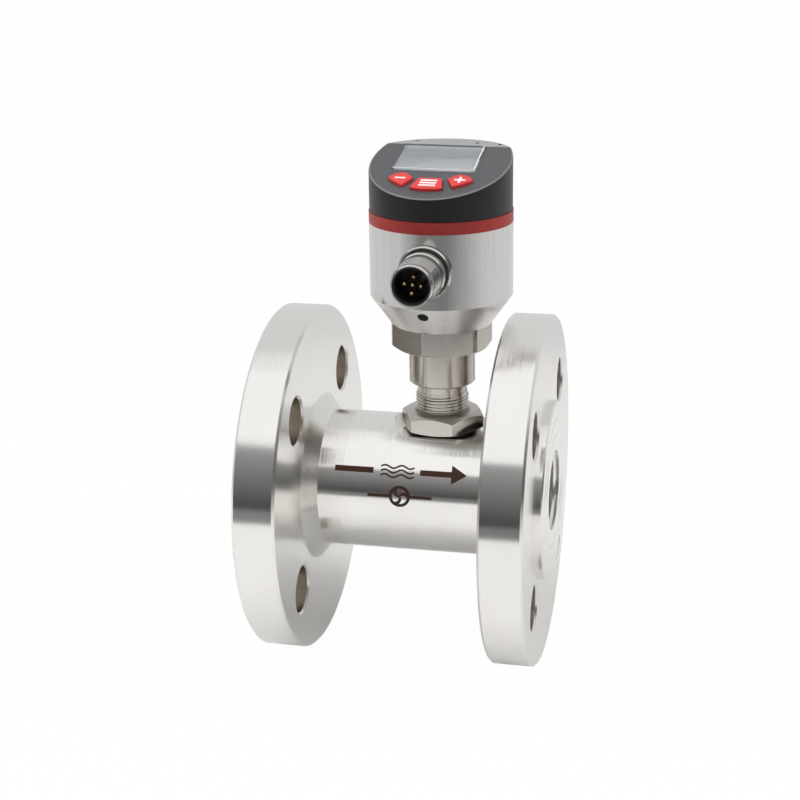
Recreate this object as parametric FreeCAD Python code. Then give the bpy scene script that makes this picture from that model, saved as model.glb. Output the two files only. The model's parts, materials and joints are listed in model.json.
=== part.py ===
import FreeCAD, Part
import math
import os

# Flanged in-line turbine flow meter with a compact display head, in millimetres.
# X runs along the pipe in the direction of flow, the viewer of the display is on the -Y side and
# Z points up. The origin is the centre of the inlet flange's raised face, on the pipe's axis.

V = FreeCAD.Vector

# ---- all pieces ---------------------------------------------------------------------------------
slip = 0.05
small_edge = 0.4

# ---- pipe section -------------------------------------------------------------------------------
flange_d = 105.0
flange_plate_t = 12.5
raised_face_d = 54.0
raised_face_h = 2.0
flange_gap = 57.0
flange_edge = 0.7
hub_base_d = 51.0
hub_l = 3.8
tube_d = 41.4
chamber_d = 20.0
chamber_l = 18.0
cartridge_bore_d = 21.4
mouth_d = 24.0
mouth_depth = 1.0
mouth_chamfer = 0.6
bolt_circle_d = 75.0
bolt_hole_d = 14.0
bolt_count = 4
bolt_hole_edge = 0.6
seal_groove_ds = (34.4, 43.4)
seal_groove_w = 0.7
seal_groove_depth = 0.45

# ---- turbine cartridge --------------------------------------------------------------------------
retainer_inset = 13.9
retainer_t = 1.1
retainer_groove_depth = 0.5
retainer_reach = 1.6
retainer_gap = 7.0
retainer_lug_d = 2.6
vane_count = 4
vane_t = 1.0
vane_hub_d = 7.6
vane_hub_inset = 1.6
nose_l = 6.0
rotor_blades = 6
rotor_hub_d = 7.2
rotor_l = 9.0
rotor_tip_gap = 0.5
rotor_end_gap = 0.5
blade_t = 0.9
blade_tip_angle = 42.0
blade_hub_angle = 20.0
shaft_d = 2.4
bush_d = 4.8
bush_l = 3.5
thrust_ball_d = 2.0

# ---- sensor stem --------------------------------------------------------------------------------
head_offset = 37.7
spot_face_d = 28.6
spot_face_depth = 2.7
stem_d = 15.0
pocket_skin = 1.2
pocket_edge = 0.8
seal_t = 0.6
seal_w = 2.4
nut_af = 22.0
nut_h = 5.4
nut_turn = -6.0
nut_chamfer_angle = 30.0
nut_crown_inset = 0.6
relief_d = 14.6
relief_h = 2.8
neck_base_rise = 14.9
neck_d = 19.5
neck_h = 10.8
hex_af = 26.5
hex_corner_d = 29.7
hex_h = 7.4
hex_turn = 21.0
hex_chamfer_angle = 30.0
spigot_d = 16.0
spigot_h = 6.0
stem_bore_d = 10.8
bobbin_h = 9.0
bobbin_flange_t = 0.8
bobbin_core_d = 4.4
pole_d = 3.0
pole_h = 15.0
coil_d = 9.6

# ---- housing can --------------------------------------------------------------------------------
can_turn = -1.8
cone_base_d = 29.3
cone_h = 8.6
can_d = 41.6
can_h = 21.5
can_wall = 1.4
can_floor_t = 2.0
ledge_depth = 3.7
ledge_w = 1.0
ring_nut_d = 24.0
ring_nut_h = 3.0
ring_nut_slots = 4
ring_nut_slot_w = 3.0
ring_nut_slot_depth = 1.5
board_t = 1.6
board_notch_w = 6.0
board_notch_depth = 3.0
vent_d = 3.2
vent_h = 6.0
vent_turn = -3.4
vent_recess = 1.2
band_h = 3.4
band_lip_t = 1.0

# ---- round cable connector ----------------------------------------------------------------------
connector_h = 19.5
connector_reach = 36.5
connector_d = 12.0
connector_bore_d = 10.7
connector_thread_l = 11.0
connector_collar_d = 13.4
boss_d = 15.4
boss_proud = 1.2
gasket_d = 14.0
gasket_t = 0.8
connector_tail = 6.0
insert_floor = 7.6
insert_wall = 0.5
insert_key_w = 1.2
insert_key_h = 0.8
pin_d = 1.0
pin_circle_d = 4.7
pin_count = 4
pin_turn = 7.0
pin_setback = 1.0

# ---- display cap --------------------------------------------------------------------------------
swivel_gap = 0.1
display_turn = -4.0
cap_inset = 0.2
cap_front_h = 6.5
cap_roof_h = 16.6
cap_slope = 19.2
cap_wall = 1.6
cap_top_t = 1.8
cap_edge = 0.8
cap_flange_t = 1.2
band_wall = 2.0
skirt_wall = 1.5
snap_neck_h = 1.2
snap_lip_w = 0.9
snap_barb_h = 1.6
window_margin = 8.4
window_h = 14.8
window_up = 1.2
window_side = -0.8
window_proud = 0.5
window_rebate = 1.0
window_sill = 0.3
window_edge = 0.4
panel_border_w = 0.5
panel_border_h = 0.1
keys_inset = 4.1
key_proud = 0.9
key_gap = 0.15
key_lip = 0.7
key_lip_t = 0.65
key_lip_gap = 0.15
key_edge = 0.2
key_travel = 0.5
menu_rise = 6.07
menu_top_w = 6.6
menu_base_w = 9.4
side_key_tip = (5.05, 5.97)
side_key_top = (7.6, 8.47)
side_key_crown = (10.2, 7.97)
side_key_outer = 12.2
side_key_base = 7.25
display_drop = 4.4
display_board_back = 10.7
keypad_t = 1.2
keypad_w = 27.0
keypad_margin = 0.8
boss_margin = 2.0
boss_ys = (-5.0, 4.0)
boss_post_d = 3.0
screw_d = 1.6
screw_l = 2.2
screw_head_d = 2.8
screw_head_h = 1.2
roof_slots = ((-10.9, 14.8, -25.0), (7.4, 13.5, 0.0), (14.5, 12.0, 0.0))
roof_slot_w = 0.6
roof_slot_l = 2.4
roof_slot_depth = 0.5

# ---- worked out from the sizes above ------------------------------------------------------------
flange_total = raised_face_h + flange_plate_t
overall_l = 2 * flange_total + flange_gap
tube_start = flange_total + hub_l
tube_end = overall_l - tube_start
head_x = flange_total + head_offset
chamber_start = head_x - chamber_l / 2
chamber_end = head_x + chamber_l / 2
cartridge_r = cartridge_bore_d / 2 - slip

pocket_floor = chamber_d / 2 + pocket_skin
spot_face_h = tube_d / 2 - spot_face_depth
stem_foot = pocket_floor + slip
nut_base = spot_face_h + seal_t
neck_base_h = spot_face_h + neck_base_rise
hex_base = neck_base_h + neck_h
can_base = hex_base + hex_h
can_shoulder = can_base + cone_h
can_top = can_shoulder + can_h
can_r = can_d / 2
can_bore_r = can_r - can_wall
band_top = can_top + band_h
ledge_z = can_top - ledge_depth
can_low_bore_r = can_bore_r - ledge_w
cap_base = band_top + swivel_gap
cap_r = can_r - cap_inset
slope = math.radians(cap_slope)
face_z = cap_base + cap_front_h + cap_r * math.tan(slope)
roof_z = cap_base + cap_roof_h
skirt_r = can_r - band_wall - swivel_gap
snap_neck_r = skirt_r - snap_lip_w
boss_x = skirt_r - skirt_wall - boss_margin
window_w = 2 * (cap_r - window_margin)
panel_w = window_w + 2 * panel_border_w
panel_h = window_h + 2 * panel_border_h
keys_radius = cap_r - keys_inset
keys_front = -keys_radius / math.cos(slope)
connector_z = can_base + connector_h
boss_face = can_r + boss_proud
gasket_face = boss_face + gasket_t
thread_start = connector_reach - connector_thread_l

BIG = 4 * flange_d
TINY = 1e-6
FACE = FreeCAD.Placement(V(0, 0, face_z), FreeCAD.Rotation(V(1, 0, 0), cap_slope))


# ---- helpers ------------------------------------------------------------------------------------
def turned(points, direction=V(0, 0, 1), origin=V(0, 0, 0)):
    """Solid of revolution; points are (distance along the axis, radius), closed automatically."""
    corners = [V(radius, 0, along) for along, radius in points]
    profile = Part.Face(Part.makePolygon(corners + corners[:1]))
    solid = profile.revolve(V(0, 0, 0), V(0, 0, 1), 360)
    return placed(solid, FreeCAD.Placement(origin, FreeCAD.Rotation(V(0, 0, 1), direction)))


def placed(shape, placement):
    copy = shape.copy()
    copy.Placement = placement.multiply(copy.Placement)
    return copy


def rod(radius, start, end, direction=V(0, 0, 1), origin=V(0, 0, 0)):
    """Cylinder between two distances along an axis."""
    foot = origin + direction * start
    return Part.makeCylinder(radius, end - start, foot, direction)


def tube(outer_r, inner_r, start, end, direction=V(0, 0, 1), origin=V(0, 0, 0)):
    outer = rod(outer_r, start, end, direction, origin)
    return outer.cut(rod(inner_r, start - 1, end + 1, direction, origin))


def block(x0, x1, y0, y1, z0, z1):
    return Part.makeBox(x1 - x0, y1 - y0, z1 - z0, V(x0, y0, z0))


def hexagon(across_flats, z0, z1):
    """Hexagonal prism with one flat facing -Y."""
    corner_r = across_flats / math.sqrt(3)
    corners = []
    for k in range(7):
        angle = math.radians(60 * k)
        corners.append(V(corner_r * math.cos(angle), corner_r * math.sin(angle), z0))
    return Part.Face(Part.makePolygon(corners)).extrude(V(0, 0, z1 - z0))


def around(shape, count, axis):
    """Copies of a shape, evenly spaced by turning it about an axis through the origin."""
    copies = []
    for k in range(count):
        copy = shape.copy()
        copy.rotate(V(0, 0, 0), axis, 360.0 * k / count)
        copies.append(copy)
    return copies


def moved(shape, x=0.0, y=0.0, z=0.0):
    copy = shape.copy()
    copy.translate(V(x, y, z))
    return copy


def on_head(shape, turn):
    """Turn a piece about the head's axis and set it over the rotor."""
    copy = shape.copy()
    copy.rotate(V(0, 0, 0), V(0, 0, 1), turn)
    copy.translate(V(head_x, 0, 0))
    return copy


def on_face(shape):
    """Set a piece drawn on the XY plane onto the sloping display face."""
    return placed(shape, FACE)


def extruded(wire, low, high):
    """Prism from a flat wire at height zero, between two heights."""
    prism = Part.Face(wire).extrude(V(0, 0, high - low))
    return moved(prism, z=low)


def save(name, shape):
    solids = shape.removeSplitter().Solids
    body = solids[0] if len(solids) == 1 else Part.makeCompound(solids)
    body.exportStep("parts/" + name + ".step")


# ---- pipe section -------------------------------------------------------------------------------
def flange():
    """Inlet flange with its raised face at x = 0; the outlet flange is its mirror image."""
    plate_r = flange_d / 2
    face_r = raised_face_d / 2
    bore_r = cartridge_bore_d / 2
    groove_r = bore_r + retainer_groove_depth
    profile = [(0, mouth_d / 2)]
    for groove_d in seal_groove_ds:
        profile.append((0, groove_d / 2 - seal_groove_w / 2))
        profile.append((seal_groove_depth, groove_d / 2))
        profile.append((0, groove_d / 2 + seal_groove_w / 2))
    profile += [
        (0, face_r - small_edge),
        (small_edge, face_r),
        (raised_face_h, face_r),
        (raised_face_h, plate_r - flange_edge),
        (raised_face_h + flange_edge, plate_r),
        (flange_total - flange_edge, plate_r),
        (flange_total, plate_r - flange_edge),
        (flange_total, hub_base_d / 2),
        (tube_start, tube_d / 2),
        (tube_start, bore_r),
        (retainer_inset + retainer_t, bore_r),
        (retainer_inset + retainer_t, groove_r),
        (retainer_inset, groove_r),
        (retainer_inset, bore_r),
        (mouth_depth + mouth_chamfer, bore_r),
        (mouth_depth, bore_r + mouth_chamfer),
        (mouth_depth, mouth_d / 2),
    ]
    body = turned(profile, V(1, 0, 0))
    hole_r = bolt_hole_d / 2
    cutter = turned([
        (raised_face_h - 1, 0),
        (raised_face_h - 1, hole_r + bolt_hole_edge),
        (raised_face_h, hole_r + bolt_hole_edge),
        (raised_face_h + bolt_hole_edge, hole_r),
        (flange_total - bolt_hole_edge, hole_r),
        (flange_total, hole_r + bolt_hole_edge),
        (flange_total + 1, hole_r + bolt_hole_edge),
        (flange_total + 1, 0),
    ], V(1, 0, 0), V(0, 0, bolt_circle_d / 2))
    cutter.rotate(V(0, 0, 0), V(1, 0, 0), 180.0 / bolt_count)
    return body.cut(around(cutter, bolt_count, V(1, 0, 0)))


def outlet(shape):
    """Mirror an inlet piece to the outlet end."""
    return shape.mirror(V(overall_l / 2, 0, 0), V(1, 0, 0))


def body_tube():
    outer_r = tube_d / 2
    bore_r = cartridge_bore_d / 2
    body = turned([
        (tube_start, bore_r),
        (tube_start, outer_r),
        (tube_end, outer_r),
        (tube_end, bore_r),
        (chamber_end, bore_r),
        (chamber_end, chamber_d / 2),
        (chamber_start, chamber_d / 2),
        (chamber_start, bore_r),
    ], V(1, 0, 0))
    pocket_r = stem_d / 2 + slip
    pocket = turned([
        (pocket_floor, 0),
        (pocket_floor, pocket_r),
        (spot_face_h - pocket_edge, pocket_r),
        (spot_face_h, pocket_r + pocket_edge),
        (spot_face_h, spot_face_d / 2),
        (outer_r + 1, spot_face_d / 2),
        (outer_r + 1, 0),
    ], V(0, 0, 1), V(head_x, 0, 0))
    return body.cut(pocket)


def retaining_ring():
    """Open ring with two plier lugs, seated in the inlet flange's groove."""
    outer_r = cartridge_bore_d / 2 + retainer_groove_depth - slip
    inner_r = cartridge_bore_d / 2 - retainer_reach
    low = retainer_inset + slip
    high = retainer_inset + retainer_t - slip
    ring = tube(outer_r, inner_r, low, high, V(1, 0, 0))
    half_gap = retainer_gap / 2
    ring = ring.cut(block(low - 1, high + 1, -half_gap, half_gap, 0, outer_r + 1))
    lug_z = math.sqrt(inner_r ** 2 - half_gap ** 2)
    for side in (-1, 1):
        lug_y = side * (half_gap + retainer_lug_d / 2)
        centre = V(0, lug_y, lug_z - retainer_lug_d / 4)
        ring = ring.fuse(rod(retainer_lug_d / 2, low, high, V(1, 0, 0), centre))
    return ring


def straightener(shoulder, rotor_side):
    """Hub with radial vanes; vanes stop at the chamber shoulder, the hub carries the bush."""
    vane_start = retainer_inset + retainer_t
    hub_start = vane_start + vane_hub_inset
    hub_r = vane_hub_d / 2
    nose = []
    steps = 5
    for k in range(steps + 1):
        angle = math.radians(90.0 * k / steps)
        nose.append((hub_start + nose_l * (1 - math.cos(angle)), hub_r * math.sin(angle)))
    seat = rotor_side - bush_l - slip
    ball_end = seat - thrust_ball_d - 2 * slip
    hub = turned(nose + [
        (rotor_side, hub_r),
        (rotor_side, bush_d / 2),
        (seat, bush_d / 2),
        (seat, thrust_ball_d / 2 + slip),
        (ball_end, thrust_ball_d / 2 + slip),
        (ball_end, 0),
    ], V(1, 0, 0))
    blank = block(vane_start, shoulder, -vane_t / 2, vane_t / 2, hub_r - vane_t / 2, cartridge_r + 1)
    vane = blank.common(rod(cartridge_r, vane_start, shoulder, V(1, 0, 0)))
    vane_tail = block(vane_start, hub_start + nose_l, -vane_t / 2, vane_t / 2, 0, hub_r)
    vane = vane.fuse(vane_tail)
    return hub.fuse(around(vane, vane_count, V(1, 0, 0))).removeSplitter()


def bush(rotor_side):
    return tube(bush_d / 2, shaft_d / 2 + slip, rotor_side - bush_l, rotor_side, V(1, 0, 0))


def thrust_ball(rotor_side):
    centre = rotor_side - bush_l - 2 * slip - thrust_ball_d / 2
    return Part.makeSphere(thrust_ball_d / 2, V(centre, 0, 0))


def blade_section(radius, angle):
    """Blade cross-section square to a radius, leaning by an angle from the flow direction."""
    lean = math.tan(math.radians(angle)) * rotor_l / 2
    half_t = blade_t / 2 / math.cos(math.radians(angle))
    x0 = head_x - rotor_l / 2
    x1 = head_x + rotor_l / 2
    corners = [V(x0, -lean - half_t, radius), V(x1, lean - half_t, radius),
               V(x1, lean + half_t, radius), V(x0, -lean + half_t, radius)]
    return Part.makePolygon(corners + corners[:1])


def rotor():
    tip_r = chamber_d / 2 - rotor_tip_gap
    hub_r = rotor_hub_d / 2
    core = rod(hub_r, head_x - rotor_l / 2, head_x + rotor_l / 2, V(1, 0, 0))
    root = blade_section(hub_r / 2, blade_hub_angle)
    tip = blade_section(tip_r + blade_t, blade_tip_angle)
    blade = Part.makeLoft([root, tip], True, True)
    blade = blade.common(rod(tip_r, head_x - rotor_l, head_x + rotor_l, V(1, 0, 0)))
    wheel = core.fuse(around(blade, rotor_blades, V(1, 0, 0)))
    return wheel.cut(rod(shaft_d / 2, head_x - rotor_l, head_x + rotor_l, V(1, 0, 0)))


def rotor_shaft():
    half = rotor_l / 2 + rotor_end_gap + bush_l - slip
    return rod(shaft_d / 2, head_x - half, head_x + half, V(1, 0, 0))


# ---- sensor stem --------------------------------------------------------------------------------
def stem():
    thread_r = stem_d / 2
    relief_base = neck_base_h - relief_h
    bore_r = stem_bore_d / 2
    spigot_top = can_base + spigot_h
    body = turned([
        (stem_foot, 0),
        (stem_foot, thread_r - slip),
        (relief_base, thread_r - slip),
        (relief_base, relief_d / 2),
        (neck_base_h, relief_d / 2),
        (neck_base_h, neck_d / 2 - small_edge),
        (neck_base_h + small_edge, neck_d / 2),
        (hex_base, neck_d / 2),
        (can_base, neck_d / 2),
        (can_base, spigot_d / 2),
        (spigot_top, spigot_d / 2),
        (spigot_top, bore_r),
        (stem_foot + pocket_skin, bore_r),
        (stem_foot + pocket_skin, 0),
    ])
    flats_r = hex_af / 2
    corner_r = hex_corner_d / 2
    corner_rise = (corner_r - flats_r) * math.tan(math.radians(hex_chamfer_angle))
    envelope = turned([
        (hex_base, bore_r),
        (hex_base, flats_r),
        (hex_base + corner_rise, corner_r),
        (can_base, corner_r),
        (can_base, bore_r),
    ])
    spanner_flats = hexagon(hex_af, hex_base, can_base)
    spanner_flats.rotate(V(0, 0, 0), V(0, 0, 1), hex_turn)
    return body.fuse(spanner_flats.common(envelope))


def lock_nut():
    top = nut_base + nut_h
    corner_r = nut_af / math.sqrt(3)
    rise = math.tan(math.radians(nut_chamfer_angle))
    crown_r = nut_af / 2 - nut_crown_inset
    edge_drop = (corner_r + 1 - crown_r) * rise
    crown = turned([
        (nut_base, 0),
        (nut_base, crown_r),
        (nut_base + edge_drop * rise, corner_r + 1),
        (top - edge_drop, corner_r + 1),
        (top, crown_r),
        (top, 0),
    ])
    bore_r = stem_d / 2
    bore = turned([
        (nut_base - 1, 0),
        (nut_base - 1, bore_r),
        (top - pocket_edge, bore_r),
        (top, bore_r + pocket_edge),
        (top + 1, bore_r + pocket_edge),
        (top + 1, 0),
    ])
    return hexagon(nut_af, nut_base, top).common(crown).cut(bore)


def stem_seal():
    bore_r = stem_d / 2
    return tube(bore_r + seal_w, bore_r, spot_face_h, nut_base)


def bobbin():
    base = stem_foot + pocket_skin
    flange_r = stem_bore_d / 2 - slip
    core_r = bobbin_core_d / 2
    return turned([
        (base, pole_d / 2),
        (base, flange_r),
        (base + bobbin_flange_t, flange_r),
        (base + bobbin_flange_t, core_r),
        (base + bobbin_h - bobbin_flange_t, core_r),
        (base + bobbin_h - bobbin_flange_t, flange_r),
        (base + bobbin_h, flange_r),
        (base + bobbin_h, pole_d / 2),
    ])


def pickup_coil():
    base = stem_foot + pocket_skin + bobbin_flange_t
    return tube(coil_d / 2, bobbin_core_d / 2, base, base + bobbin_h - 2 * bobbin_flange_t)


def pole_piece():
    base = stem_foot + pocket_skin
    return rod(pole_d / 2 - slip / 2, base, base + pole_h)


# ---- housing can --------------------------------------------------------------------------------
def can():
    floor_top = can_base + can_floor_t
    cone_run = (can_d - cone_base_d) / 2 / cone_h
    inner_foot_r = cone_base_d / 2 - can_wall - ledge_w + can_floor_t * cone_run
    shell = turned([
        (can_base, spigot_d / 2 + slip),
        (can_base, cone_base_d / 2),
        (can_shoulder, can_r),
        (can_top, can_r),
        (can_top, can_bore_r),
        (ledge_z, can_bore_r),
        (ledge_z, can_low_bore_r),
        (can_shoulder, can_low_bore_r),
        (floor_top, inner_foot_r),
        (floor_top, spigot_d / 2 + slip),
    ])
    connector_hole = rod(connector_d / 2 + slip, 0, can_r + 1, V(0, -1, 0), V(0, 0, connector_z))
    return shell.cut([connector_hole, vent_tool(vent_d / 2, -1, can_d)])


def vent_tool(radius, low, high):
    """Cylinder square to the cone's surface at the vent, between two depths below it."""
    along = vent_h / cone_h
    surface_r = (cone_base_d + (can_d - cone_base_d) * along) / 2
    lean = math.atan2((can_d - cone_base_d) / 2, cone_h)
    inward = V(0, math.cos(lean), math.sin(lean))
    tool = rod(radius, low, high, inward, V(0, -surface_r, can_base + vent_h))
    tool.rotate(V(0, 0, 0), V(0, 0, 1), vent_turn)
    outside = rod(can_d, can_base - can_d, can_base + vent_h + can_d)
    return tool.common(outside.cut(moved(outside, y=can_d)))


def vent_plug():
    wall = can_wall + ledge_w
    return vent_tool(vent_d / 2 - slip / 2, vent_recess, wall)


def ring_nut():
    base = can_base + can_floor_t
    outer_r = ring_nut_d / 2
    ring = tube(outer_r, spigot_d / 2, base, base + ring_nut_h)
    half = ring_nut_slot_w / 2
    floor_r = outer_r - ring_nut_slot_depth
    slot = block(floor_r, outer_r + 1, -half, half, base - 1, base + ring_nut_h + 1)
    return ring.cut(around(slot, ring_nut_slots, V(0, 0, 1)))


def main_board():
    board = rod(can_bore_r - slip, ledge_z, ledge_z + board_t)
    half = board_notch_w / 2
    notch = block(-half, half, -can_r, board_notch_depth - can_bore_r, ledge_z - 1, can_top)
    return board.cut(notch)


def band():
    """Coloured band on the can's rim; its inner lip holds the display cap's snap skirt."""
    return turned([
        (can_top, snap_neck_r + swivel_gap),
        (can_top, can_r),
        (band_top, can_r),
        (band_top, skirt_r + swivel_gap),
        (can_top + band_lip_t, skirt_r + swivel_gap),
        (can_top + band_lip_t, snap_neck_r + swivel_gap),
    ])


# ---- round cable connector ----------------------------------------------------------------------
def connector_line(points):
    return turned(points, V(0, -1, 0), V(0, 0, connector_z))


def boss():
    """Round seat that follows the can's curve on its back."""
    inner_r = connector_d / 2 + slip
    ring = connector_line([
        (can_low_bore_r, inner_r),
        (can_low_bore_r, boss_d / 2),
        (boss_face - small_edge, boss_d / 2),
        (boss_face, boss_d / 2 - small_edge),
        (boss_face, inner_r),
    ])
    return ring.cut(rod(can_r, can_base, band_top))


def connector_gasket():
    return connector_line([
        (boss_face, connector_d / 2),
        (boss_face, gasket_d / 2),
        (gasket_face, gasket_d / 2),
        (gasket_face, connector_d / 2),
    ])


def connector_shell():
    outer_r = connector_d / 2
    bore_r = connector_bore_d / 2
    tip = connector_reach
    tail = can_r - connector_tail
    return connector_line([
        (tail, bore_r - insert_wall),
        (tail, outer_r),
        (gasket_face, outer_r),
        (gasket_face, connector_collar_d / 2),
        (thread_start - small_edge, connector_collar_d / 2),
        (thread_start, connector_collar_d / 2 - small_edge),
        (thread_start, outer_r),
        (tip - small_edge, outer_r),
        (tip, outer_r - small_edge),
        (tip, bore_r),
        (tip - insert_floor - pin_setback, bore_r),
        (tip - insert_floor - pin_setback, bore_r - insert_wall),
    ])


def pin_places():
    places = [(0.0, 0.0)]
    for k in range(pin_count):
        angle = math.radians(pin_turn + 360.0 * k / pin_count)
        places.append((pin_circle_d / 2 * math.sin(angle), pin_circle_d / 2 * math.cos(angle)))
    return places


def connector_insert():
    """Moulded cup with a coding key; the pins stand in its floor."""
    bore_r = connector_bore_d / 2
    shoulder = connector_reach - insert_floor - pin_setback
    floor = connector_reach - insert_floor
    rim = connector_reach - small_edge
    cup = connector_line([
        (can_r - connector_tail, 0),
        (can_r - connector_tail, bore_r - insert_wall),
        (shoulder, bore_r - insert_wall),
        (shoulder, bore_r),
        (rim, bore_r),
        (rim, bore_r - insert_wall),
        (floor, bore_r - insert_wall),
        (floor, 0),
    ])
    key_half = insert_key_w / 2
    low = connector_z + bore_r - insert_wall - insert_key_h
    high = connector_z + bore_r - insert_wall / 2
    key = block(-key_half, key_half, -rim, -shoulder, low, high)
    key.rotate(V(0, 0, connector_z), V(0, 1, 0), pin_turn + 180.0 / pin_count)
    cup = cup.fuse(key)
    holes = []
    for x, z in pin_places():
        start = can_r - connector_tail - 1
        holes.append(rod(pin_d / 2, start, floor + 1, V(0, -1, 0), V(x, 0, connector_z + z)))
    return cup.cut(holes)


def connector_pins():
    pins = []
    tail = can_r - connector_tail - pin_setback
    tip = connector_reach - pin_setback
    tip_r = pin_d / 4
    for x, z in pin_places():
        origin = V(x, 0, connector_z + z)
        pins.append(turned([
            (tail, 0),
            (tail, pin_d / 2),
            (tip - tip_r, pin_d / 2),
            (tip, tip_r),
            (tip, 0),
        ], V(0, -1, 0), origin))
    return Part.makeCompound(pins)


# ---- display cap --------------------------------------------------------------------------------
def rim_point(u, radius):
    """Point of the sloping face straight above a circle about the head's axis, on its front side."""
    return V(u, -math.sqrt(radius ** 2 - u ** 2) / math.cos(slope), 0)


def menu_outline():
    top = keys_front + menu_rise
    top_left = V(-menu_top_w / 2, top, 0)
    top_right = V(menu_top_w / 2, top, 0)
    right = rim_point(menu_base_w / 2, keys_radius)
    left = rim_point(-menu_base_w / 2, keys_radius)
    front = rim_point(0, keys_radius)
    return Part.Wire([
        Part.LineSegment(top_left, top_right).toShape(),
        Part.LineSegment(top_right, right).toShape(),
        Part.Arc(right, front, left).toShape(),
        Part.LineSegment(left, top_left).toShape(),
    ])


def side_outline(side):
    tip = V(side * side_key_tip[0], keys_front + side_key_tip[1], 0)
    top = V(side * side_key_top[0], keys_front + side_key_top[1], 0)
    crown = V(side * side_key_crown[0], keys_front + side_key_crown[1], 0)
    outer = rim_point(side * side_key_outer, keys_radius)
    bulge = rim_point(side * (side_key_outer + side_key_base) / 2, keys_radius)
    base = rim_point(side * side_key_base, keys_radius)
    return Part.Wire([
        Part.LineSegment(tip, top).toShape(),
        Part.Arc(top, crown, outer).toShape(),
        Part.Arc(outer, bulge, base).toShape(),
        Part.LineSegment(base, tip).toShape(),
    ])


def key(outline):
    """Push key standing proud of the face, with a lip behind the cap's wall."""
    lip_top = -cap_top_t - key_lip_gap
    body = extruded(outline, lip_top, key_proud)
    body = body.makeChamfer(key_edge, top_edges(body, key_proud))
    lip = extruded(outline.makeOffset2D(key_lip), lip_top - key_lip_t, lip_top)
    return on_face(body.fuse(lip).removeSplitter())


def top_edges(shape, height):
    edges = []
    for edge in shape.Edges:
        if all(abs(vertex.Point.z - height) < TINY for vertex in edge.Vertexes):
            edges.append(edge)
    return edges


def window_outline(grow):
    half_w = window_w / 2 + grow
    half_h = window_h / 2 + grow
    left = window_side - half_w
    right = window_side + half_w
    corners = [V(left, window_up - half_h, 0), V(right, window_up - half_h, 0),
               V(right, window_up + half_h, 0), V(left, window_up + half_h, 0)]
    return Part.makePolygon(corners + corners[:1])


def window():
    """Lens plate let into the face, standing a little proud with bevelled edges."""
    plate = extruded(window_outline(0), -window_rebate, window_proud)
    return on_face(plate.makeChamfer(window_edge, top_edges(plate, window_proud)))


def under_face(depth):
    """Space below the sloping face and a depth under it, out to well past the cap."""
    return on_face(block(-BIG, BIG, -BIG, BIG, -BIG, -depth))


def cap():
    outer = rod(cap_r, cap_base, roof_z).common(under_face(0))
    upper = []
    for edge in outer.Edges:
        if edge.BoundBox.ZMin > cap_base + cap_edge and not is_upright(edge):
            upper.append(edge)
    outer = outer.makeFillet(cap_edge, upper)
    inner_r = cap_r - cap_wall
    inner = rod(inner_r, cap_base - 1, roof_z - cap_top_t).common(under_face(cap_top_t))
    shell = outer.cut(inner)
    skirt_in = skirt_r - skirt_wall
    neck_low = can_top - swivel_gap
    neck_high = neck_low + snap_neck_h
    foot = neck_low - snap_barb_h
    skirt = turned([
        (cap_base + cap_flange_t, skirt_in),
        (cap_base + cap_flange_t, cap_r - cap_wall / 2),
        (cap_base, cap_r - cap_wall / 2),
        (cap_base, skirt_r),
        (neck_high, skirt_r),
        (neck_high, snap_neck_r),
        (neck_low, snap_neck_r),
        (neck_low, skirt_r - swivel_gap),
        (foot, snap_neck_r),
        (foot, skirt_in),
    ])
    posts = []
    for x, y in screw_places():
        post = rod(boss_post_d / 2, -display_drop, -cap_top_t / 2, V(0, 0, 1), V(x, y, 0))
        posts.append(on_face(post))
    shell = shell.fuse([skirt] + posts)
    cuts = [on_face(extruded(window_outline(slip), -window_rebate, cap_top_t))]
    cuts.append(on_face(extruded(window_outline(-window_sill), -2 * cap_top_t, 0)))
    cuts.append(on_face(panel_case(slip)))
    for outline in (menu_outline(), side_outline(-1), side_outline(1)):
        cuts.append(on_face(extruded(outline.makeOffset2D(key_gap), -cap_top_t - slip, cap_top_t)))
    for x, y in screw_places():
        hole = rod(screw_d / 2, -display_drop - 1, -display_drop + screw_l, V(0, 0, 1), V(x, y, 0))
        cuts.append(on_face(hole))
    for x, y, turn in roof_slots:
        half_w = roof_slot_w / 2
        half_l = roof_slot_l / 2
        slot = block(-half_w, half_w, -half_l, half_l, roof_z - roof_slot_depth, roof_z + 1)
        slot.rotate(V(0, 0, 0), V(0, 0, 1), turn)
        cuts.append(moved(slot, x, y))
    return shell.cut(cuts)


def is_upright(edge):
    box = edge.BoundBox
    return box.XLength < TINY and box.YLength < TINY


def screw_places():
    return [(x, y) for x in (-boss_x, boss_x) for y in boss_ys]


def display_panel():
    """Display module; its glass stands through the cap's opening, against the lens."""
    glass = extruded(window_outline(-window_sill - slip), -cap_top_t, -window_rebate)
    return on_face(panel_case(0)).fuse(on_face(glass)).removeSplitter()


def panel_case(grow):
    half_w = panel_w / 2 + grow
    half_h = panel_h / 2 + grow
    left = window_side - half_w
    right = window_side + half_w
    return block(left, right, window_up - half_h, window_up + half_h, -display_drop, -cap_top_t)


def display_board():
    reach = boss_x + boss_post_d / 2
    slab = block(-reach, reach, -cap_r, display_board_back, -display_drop - board_t, -display_drop)
    board = on_face(slab).common(rod(skirt_r - skirt_wall, cap_base + cap_flange_t, roof_z))
    holes = []
    for x, y in screw_places():
        hole = rod(screw_d / 2, -display_drop - board_t - 1, 1 - display_drop, V(0, 0, 1), V(x, y, 0))
        holes.append(on_face(hole))
    return board.cut(holes)


def keypad():
    """Rubber mat on the display board, under the keys."""
    half_w = keypad_w / 2
    top_v = window_up - panel_h / 2 - keypad_margin
    slab = block(-half_w, half_w, -can_d, top_v, -display_drop, keypad_t - display_drop)
    return on_face(slab).common(rod(skirt_r - skirt_wall, cap_base, roof_z))


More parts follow.
